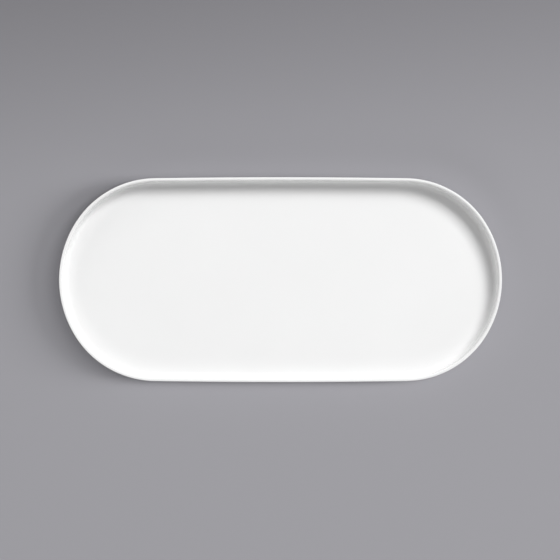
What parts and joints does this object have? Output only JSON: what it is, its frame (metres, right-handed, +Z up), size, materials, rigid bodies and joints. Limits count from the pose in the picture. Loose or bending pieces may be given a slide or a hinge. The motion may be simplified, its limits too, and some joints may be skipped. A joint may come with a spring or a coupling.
{
  "type": "oval serving platter",
  "caption": "Long white porcelain serving platter with straight sides, rounded ends, a low upright wall and a foot ring, for serving food on a table.",
  "frame": {"origin": "on the table, under the middle of the platter", "axes": "+X along the platter's length, +Y across it, +Z up out of the well"},
  "size_m": [0.33, 0.1526, 0.019],
  "materials": {
    "porcelain": "fired white porcelain, bare and smooth at the foot ring, with a dull satin face",
    "glaze": "white glaze with a soft gloss"
  },
  "bodies": {
    "root": {"porcelain_body": "porcelain", "glaze_face": "glaze", "glaze_underside": "glaze"}
  },
  "joints": []
}
